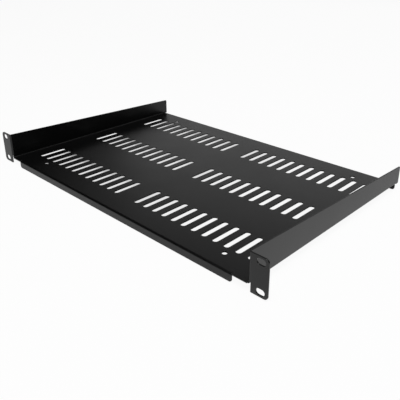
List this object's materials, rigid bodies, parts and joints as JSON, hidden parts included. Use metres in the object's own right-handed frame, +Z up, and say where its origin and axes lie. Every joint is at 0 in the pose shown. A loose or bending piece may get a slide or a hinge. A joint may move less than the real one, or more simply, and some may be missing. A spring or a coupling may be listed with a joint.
{
  "type": "cantilever rack shelf",
  "caption": "Folded black sheet-steel shelf for a 19-inch rack: ventilated floor, tapering side walls, turned-out rack ears with slotted holes, and stiffening lips front and rear.",
  "frame": {"origin": "midway across the shelf and midway between the ears' front faces and the side walls' rear edges, on the plane of the lips' lower edges", "axes": "+X to the right as seen from the front of the rack, +Y to the rear, +Z up; the front faces of the ears look along -Y"},
  "size_m": [0.4826, 0.3, 0.044],
  "materials": {
    "powder_coat": "satin"
  },
  "bodies": {
    "root": {"shelf": "powder_coat"}
  },
  "joints": []
}
